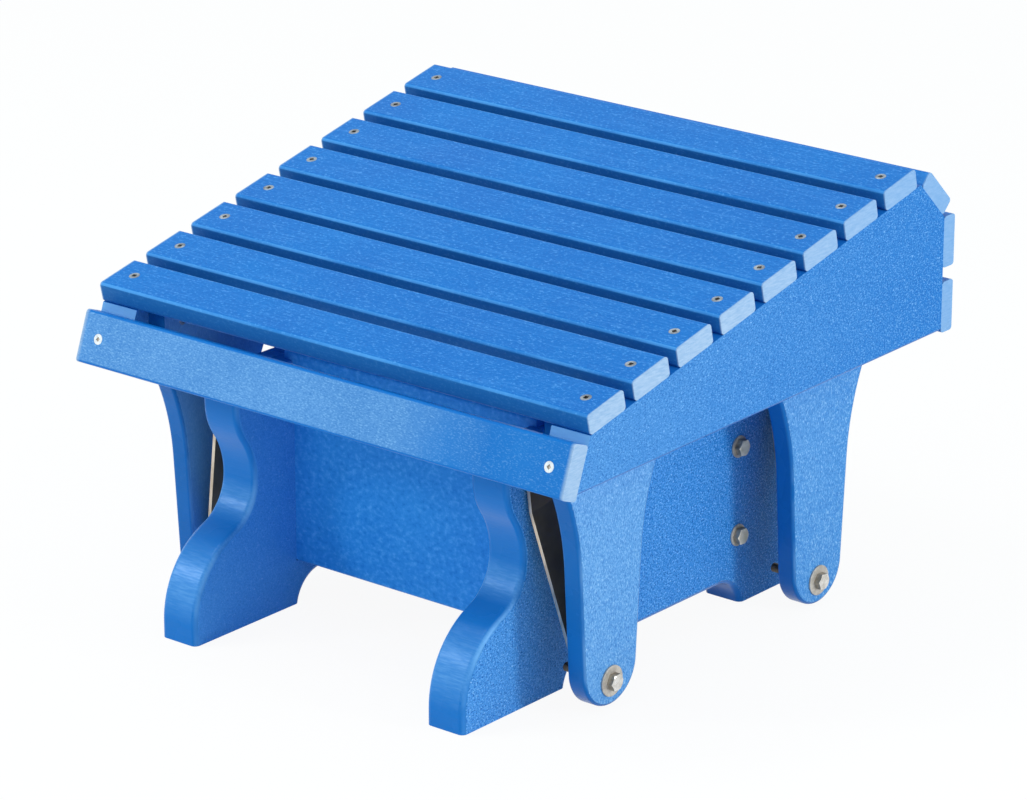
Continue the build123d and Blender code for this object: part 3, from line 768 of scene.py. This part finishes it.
def bearing(bore, columns=64):
    """A sealed bearing centred on Z 0: two races with a dark grooved seal let in between.

    Each side's sheets run from the bore outwards, and turn round for the side at +Z. The seal's
    depth is a sine of three half waves from race to race, and it has material 1.
    """
    inner = bore + INNER_RACE
    half = BEARING_HALF
    ease = BEARING_EASE
    wave = np.abs(np.sin(np.linspace(0.0, 3.0 * math.pi, 9)))
    dip = half - SEAL_SINK - SEAL_GROOVE * wave
    rows = (
        ([bore, bore + ease * 0.5], [half - ease * 0.5, half], 0),
        ([bore + ease * 0.5, inner], [half, half], 0),
        ([inner, inner], [half, dip[0]], 0),
        (np.linspace(inner, OUTER_RACE, 9), dip, 1),
        ([OUTER_RACE, OUTER_RACE], [dip[-1], half], 0),
        ([OUTER_RACE, BEARING_RADIUS - ease], [half, half], 0),
        ([BEARING_RADIUS - ease, BEARING_RADIUS], [half, half - ease], 0),
    )
    shell = Shell()
    for radii, heights, material in rows:
        below = sweep(radii, -np.asarray(heights), columns)
        above = sweep(radii, heights, columns)
        shell.sheet(below, material)
        shell.sheet(above[::-1], material)
    shell.sheet(sweep([BEARING_RADIUS, BEARING_RADIUS], [ease - half, half - ease], columns))
    shell.sheet(sweep([bore, bore], [half - ease * 0.5, ease * 0.5 - half], columns))
    return shell


def frame_on(axis, turned):
    """A 3 by 3 matrix that stands local Z on the axis and turns the form about it."""
    up = np.asarray(axis, float)
    side = np.array([0.0, 1.0, 0.0]) if abs(up[0]) > 0.5 else np.array([1.0, 0.0, 0.0])
    other = np.cross(up, side)
    cosine, sine = math.cos(turned), math.sin(turned)
    return np.stack([cosine * side + sine * other, cosine * other - sine * side, up], axis=1)


# ------------------------------------------------------------------------------- the fasteners

chance = np.random.default_rng(11)
WRENCH_SPREAD = 0.12            # radians, how far a hexagon may be turned either way
END_SLACK = 0.01 * MM           # points this near to a screw's end belong to it


def loose_parts(node):
    """The points of each separate solid of a CAD node, one array to a solid.

    Corners at the same place count as one point, and every triangle hands its lowest label to
    its three points until nothing changes.
    """
    mesh = nodes[node].data
    points = np.empty(len(mesh.vertices) * 3)
    mesh.vertices.foreach_get("co", points)
    corners = np.empty(len(mesh.loops), dtype=np.int64)
    mesh.loops.foreach_get("vertex_index", corners)
    points, same = np.unique(np.round(points.reshape(-1, 3), 6), axis=0, return_inverse=True)
    triangles = same.reshape(-1)[corners].reshape(-1, 3)
    label = np.arange(len(points))
    settled = False
    while not settled:
        least = label[triangles].min(axis=1)
        lower = label.copy()
        for corner in range(3):
            np.minimum.at(lower, triangles[:, corner], least)
        lower = lower[lower]
        settled = bool((lower == label).all())
        label = lower
    return [points[label == group] for group in np.unique(label)]


def box_middle(points):
    """The middle of the box that holds the points."""
    return (points.min(axis=0) + points.max(axis=0)) / 2.0


def reach_of(node):
    """How far the bolts of a CAD node reach under their heads; they all lie along X."""
    return np.ptp(loose_parts(node)[0][:, 0]) - BOLT_HEIGHT


def row_of(node, form, height, inward):
    """A placed copy of the form at every solid of the node.

    The form's own Z points out, or to the middle where inward, and its top, at that height,
    lies on the solid's end.
    """
    shells = []
    for points in loose_parts(node):
        middle = box_middle(points)
        side = 1.0 if middle[0] > 0 else -1.0
        inner, outer = np.abs(points[:, 0]).min(), np.abs(points[:, 0]).max()
        seat = inner + height if inward else outer - height
        way = -side if inward else side
        matrix = frame_on((way, 0.0, 0.0), chance.uniform(-WRENCH_SPREAD, WRENCH_SPREAD))
        shells.append(form.placed(matrix, np.array([side * seat, middle[1], middle[2]])))
    return shells


def screws_of(node, form):
    """A placed copy of the screw at every solid: its line is the longest way through the points.

    The head is at the wider of the two ends.
    """
    shells = []
    for points in loose_parts(node):
        middle = points.mean(axis=0)
        axis = np.linalg.eigh(np.cov((points - middle).T))[1][:, 2]
        along = (points - middle) @ axis
        off = np.linalg.norm(points - middle - along[:, None] * axis, axis=1)
        first = off[along < along.min() + END_SLACK].max()
        last = off[along > along.max() - END_SLACK].max()
        if last < first:
            axis, along = -axis, -along
        centre = box_middle(points[along > along.max() - END_SLACK])
        shells.append(form.placed(frame_on(axis, chance.uniform(0.0, math.pi)), centre))
    return shells


STEEL = [looks["stainless"]]
SHADED = [looks["shaded"]]
WASHER = [looks["washer"]]
BRIGHT_BOLT = [looks["stainless"], looks["forged_and_shaded"], looks["shaded"]]
LIT_SATIN_BOLT = [looks["lit_satin"], looks["forged_and_shaded"], looks["shaded"]]
NUT = [looks["shaded"], looks["insert"]]
SCREW = [looks["screw"], looks["recess"]]
LIT_SCREW = [looks["head"], looks["washer"]]
SEALED = [looks["bearing"], looks["seal"]]

nut = lock_nut()
lower_bolt = hex_bolt(reach_of("lower_pivot_bolts"), LOWER_THREAD)
upper_bolt = hex_bolt(reach_of("upper_pivot_bolts"), UPPER_THREAD)
base_bolt = hex_bolt(reach_of("base_bolts"), 0.0)
large_washer = turned_ring(LARGE_WASHER, WASHER_THICK, LARGE_EASE, 72)
base_washer = turned_ring(BASE_WASHER, WASHER_THICK, LARGE_EASE, 64)
small_washer = turned_ring(SMALL_WASHER, WASHER_THICK, SMALL_EASE)
spacer = turned_ring(SMALL_WASHER, SPACER_THICK, SMALL_EASE)

# node, form, height of its top over its own Z 0, whether it points to the middle, body, looks
hardware = [
    ("lower_pivot_bolts", lower_bolt, BOLT_HEIGHT, False, "seat", BRIGHT_BOLT),
    ("lower_pivot_washers", large_washer, WASHER_THICK, False, "seat", WASHER),
    ("lower_pivot_spacers", spacer, SPACER_THICK, True, "seat", SHADED),
    ("lower_nut_washers", small_washer, WASHER_THICK, False, "seat", SHADED),
    ("lower_pivot_nuts", nut, NUT_HEIGHT, True, "seat", NUT),
    ("upper_pivot_bolts", upper_bolt, BOLT_HEIGHT, True, "base", BRIGHT_BOLT),
    ("upper_pivot_washers", large_washer, WASHER_THICK, True, "base", WASHER),
    ("upper_pivot_spacers", spacer, SPACER_THICK, False, "base", STEEL),
    ("upper_nut_washers", small_washer, WASHER_THICK, False, "base", STEEL),
    ("upper_pivot_nuts", nut, NUT_HEIGHT, False, "base", NUT),
    ("base_bolts", base_bolt, BOLT_HEIGHT, False, "base", LIT_SATIN_BOLT),
    ("base_washers", base_washer, WASHER_THICK, False, "base", WASHER),
]
for node, form, height, inward, body, materials in hardware:
    shells = row_of(node, form, height, inward)
    build(f"{node}_shaped", shells, body, [node], materials)

slat_screw = screw(BOARD_SCREW, SLAT_RECESS)
apron_screw = screw(BOARD_SCREW, APRON_RECESS)
hanger_screw = screw(HANGER_SCREW, HANGER_RECESS)
for node, form, materials in (
    ("top_slat_screws", slat_screw, SCREW),
    ("apron_screws", apron_screw, LIT_SCREW),
    ("back_slat_screws", slat_screw, SCREW),
    ("hanger_screws", hanger_screw, SCREW),
):
    build(f"{node}_shaped", screws_of(node, form), "seat", [node], materials)

# the rear links' lower bearings are the opened pivots, with room round the bolt
close_bearing = bearing(BORE)
open_bearing = bearing(OPEN_BORE)
along_x = frame_on((1.0, 0.0, 0.0), 0.0)
for place in ("front", "rear"):
    for side in ("left", "right"):
        link = f"{place}_{side}_link"
        node = f"{link}_bearings"
        middles = [box_middle(points) for points in loose_parts(node)]
        lowest = min(middle[2] for middle in middles)
        shells = []
        for middle in middles:
            opened = place == "rear" and middle[2] == lowest
            form = open_bearing if opened else close_bearing
            shells.append(form.placed(along_x, middle))
        build(f"{node}_shaped", shells, link, [node], SEALED)

# ---------------------------------------------------------------------------------- the studio

WHITE = (1.0, 1.0, 1.0, 1.0)
AMBIENT = (0.49, 0.65, 0.71, 1.0)
LAMP_COLOUR = (1.0, 0.97, 0.88)
LAMP_AIM = Vector((0.0, 0.0, 0.2))    # the middle of the stool
FLOOR_REACH = 14.0
FLOOR_GLOW = 0.93               # how much of the floor's look is plain white


def seen_whole(look):
    """1 for rays from the camera and for mirrored or refracted ones, 0 for those that light."""
    seen = look.add("ShaderNodeLightPath", out="Is Camera Ray")
    for ray in ("Is Glossy Ray", "Is Transmission Ray"):
        seen = seen.math("MAXIMUM", look.add("ShaderNodeLightPath", out=ray))
    return seen


def floor_look():
    """Pale matt floor that the camera and mirrors see almost white, with the object's shadow."""
    look = material_look("studio_floor")
    cloud = look.noise(look.place(), 3.0)
    paper = look.mix(cloud.ramp(0.3, 0.7), rgb(252, 252, 252), WHITE)
    matt = look.shade(Base_Color=paper, Roughness=0.9, Specular_IOR_Level=0.1)
    white = look.add("ShaderNodeEmission", sockets={"Color": WHITE, "Strength": 1.0})
    share = seen_whole(look) * FLOOR_GLOW
    return look.finish(look.add("ShaderNodeMixShader", sockets={0: share, 1: matt, 2: white}))


floor_mesh = bpy.data.meshes.new("studio_floor")
floor_corners = [
    (-FLOOR_REACH, -FLOOR_REACH, 0.0),
    (FLOOR_REACH, -FLOOR_REACH, 0.0),
    (FLOOR_REACH, FLOOR_REACH, 0.0),
    (-FLOOR_REACH, FLOOR_REACH, 0.0),
]
floor_mesh.from_pydata(floor_corners, [], [(0, 1, 2, 3)])
floor_mesh.materials.append(floor_look())
floor = bpy.data.objects.new("studio_floor", floor_mesh)
bpy.context.scene.collection.objects.link(floor)

sky = Look(bpy.data.worlds.new("studio"))
air = sky.mix(seen_whole(sky), AMBIENT, WHITE)
light = sky.add("ShaderNodeBackground", sockets={"Color": air, "Strength": 1.0})
bpy.context.scene.world = sky.finish(light, "ShaderNodeOutputWorld")


def lamp(name, place, size, power):
    """A soft square lamp that faces the stool."""
    data = bpy.data.lights.new(name, "AREA")
    data.shape = "SQUARE"
    data.size = size
    data.energy = power
    data.color = LAMP_COLOUR
    item = bpy.data.objects.new(name, data)
    way = LAMP_AIM - Vector(place)
    turned = way.to_track_quat("-Z", "Y").to_matrix().to_4x4()
    item.matrix_world = Matrix.Translation(place) @ turned
    bpy.context.scene.collection.objects.link(item)


lamp("right_box", (2.2, 0.35, 0.8), 0.36, 17.3)
lamp("front_box", (-1.3, -1.0, 3.3), 1.2, 33.0)
lamp("low_box", (-2.25, -2.3, 1.75), 0.6, 25.0)
lamp("top_box", (0.2, 0.6, 3.4), 2.0, 8.0)

# ---------------------------------------------------------------------------------- the camera

VIEW_FROM = (2.3152, -2.8238, 1.4622)
VIEW_TURN = 39.37528            # degrees, left from straight back
VIEW_DIP = 19.468196            # degrees, down from level
VIEW_LENS = 163.07              # millimetres, and so is the sensor's width
VIEW_SENSOR = 36.0

camera_data = bpy.data.cameras.new("camera")
camera_data.sensor_width = VIEW_SENSOR
camera_data.lens = VIEW_LENS
camera_data.clip_start = 0.1
camera_data.clip_end = 100.0
camera = bpy.data.objects.new("camera", camera_data)
turned = Euler((math.radians(90.0 - VIEW_DIP), 0.0, math.radians(VIEW_TURN)))
camera.matrix_world = Matrix.Translation(VIEW_FROM) @ turned.to_matrix().to_4x4()
bpy.context.scene.collection.objects.link(camera)
bpy.context.scene.camera = camera
bpy.context.scene.view_settings.view_transform = "Standard"
